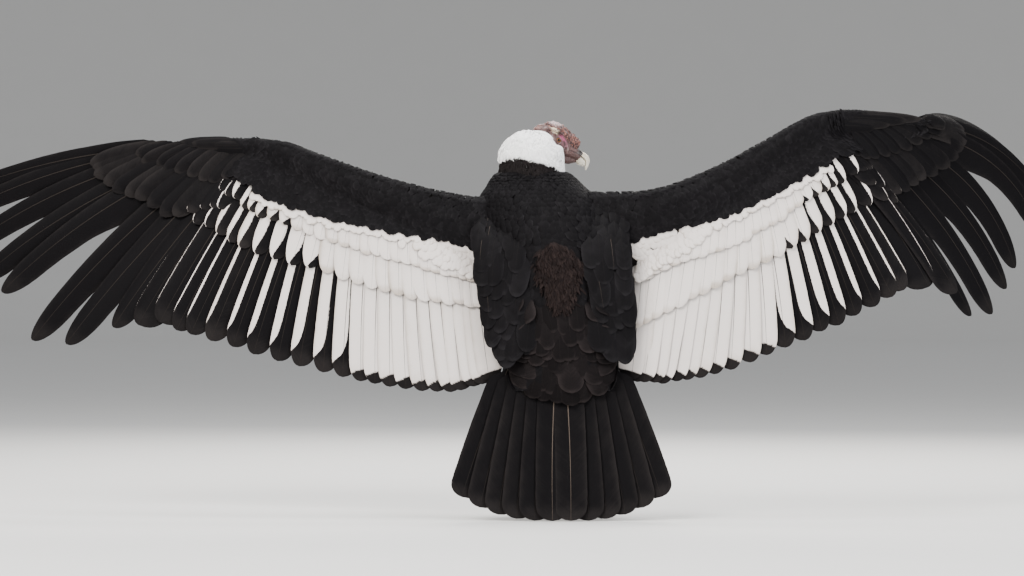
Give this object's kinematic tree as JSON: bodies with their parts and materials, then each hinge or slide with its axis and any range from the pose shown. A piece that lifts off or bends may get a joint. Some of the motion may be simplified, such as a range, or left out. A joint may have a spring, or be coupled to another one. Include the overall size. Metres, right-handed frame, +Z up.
{
  "type": "andean condor figure",
  "caption": "Life-size still model of an adult male vulture standing upright with both wings spread wide, head turned to its right and tail fanned to the floor.",
  "frame": {"origin": "on the floor, under the middle of the whole bird's bounding box", "axes": "+X towards the bird's right wing tip, +Y the way its breast faces, +Z up"},
  "size_m": [2.6914, 0.7162, 0.9669],
  "materials": {
    "feather_black": "blackish contour and flight feathers with a faint grey sheen",
    "down_white": "soft white down",
    "skin_pink": "bare wrinkled skin, pinkish brown",
    "comb_red": "rough fleshy comb, reddish with pale flakes",
    "bill_ivory": "smooth ivory horn",
    "eye_brown": "wet glossy eye",
    "foot_grey": "grey scaly skin",
    "claw_dark": "dark blunt horn"
  },
  "bodies": {
    "root": {"torso": "feather_black", "ruff": "down_white", "neck": "skin_pink", "head": "skin_pink", "comb": "comb_red", "bill_upper": "bill_ivory", "bill_lower": "bill_ivory", "eye_left": "eye_brown", "eye_right": "eye_brown", "wing_left_arm": "feather_black", "wing_left_hand": "feather_black", "wing_right_arm": "feather_black", "wing_right_hand": "feather_black", "tail": "feather_black", "leg_left": "feather_black", "leg_right": "feather_black", "foot_left": "foot_grey", "foot_right": "foot_grey", "claw_left_1": "claw_dark", "claw_left_2": "claw_dark", "claw_left_3": "claw_dark", "claw_left_4": "claw_dark", "claw_right_1": "claw_dark", "claw_right_2": "claw_dark", "claw_right_3": "claw_dark", "claw_right_4": "claw_dark"}
  },
  "joints": []
}
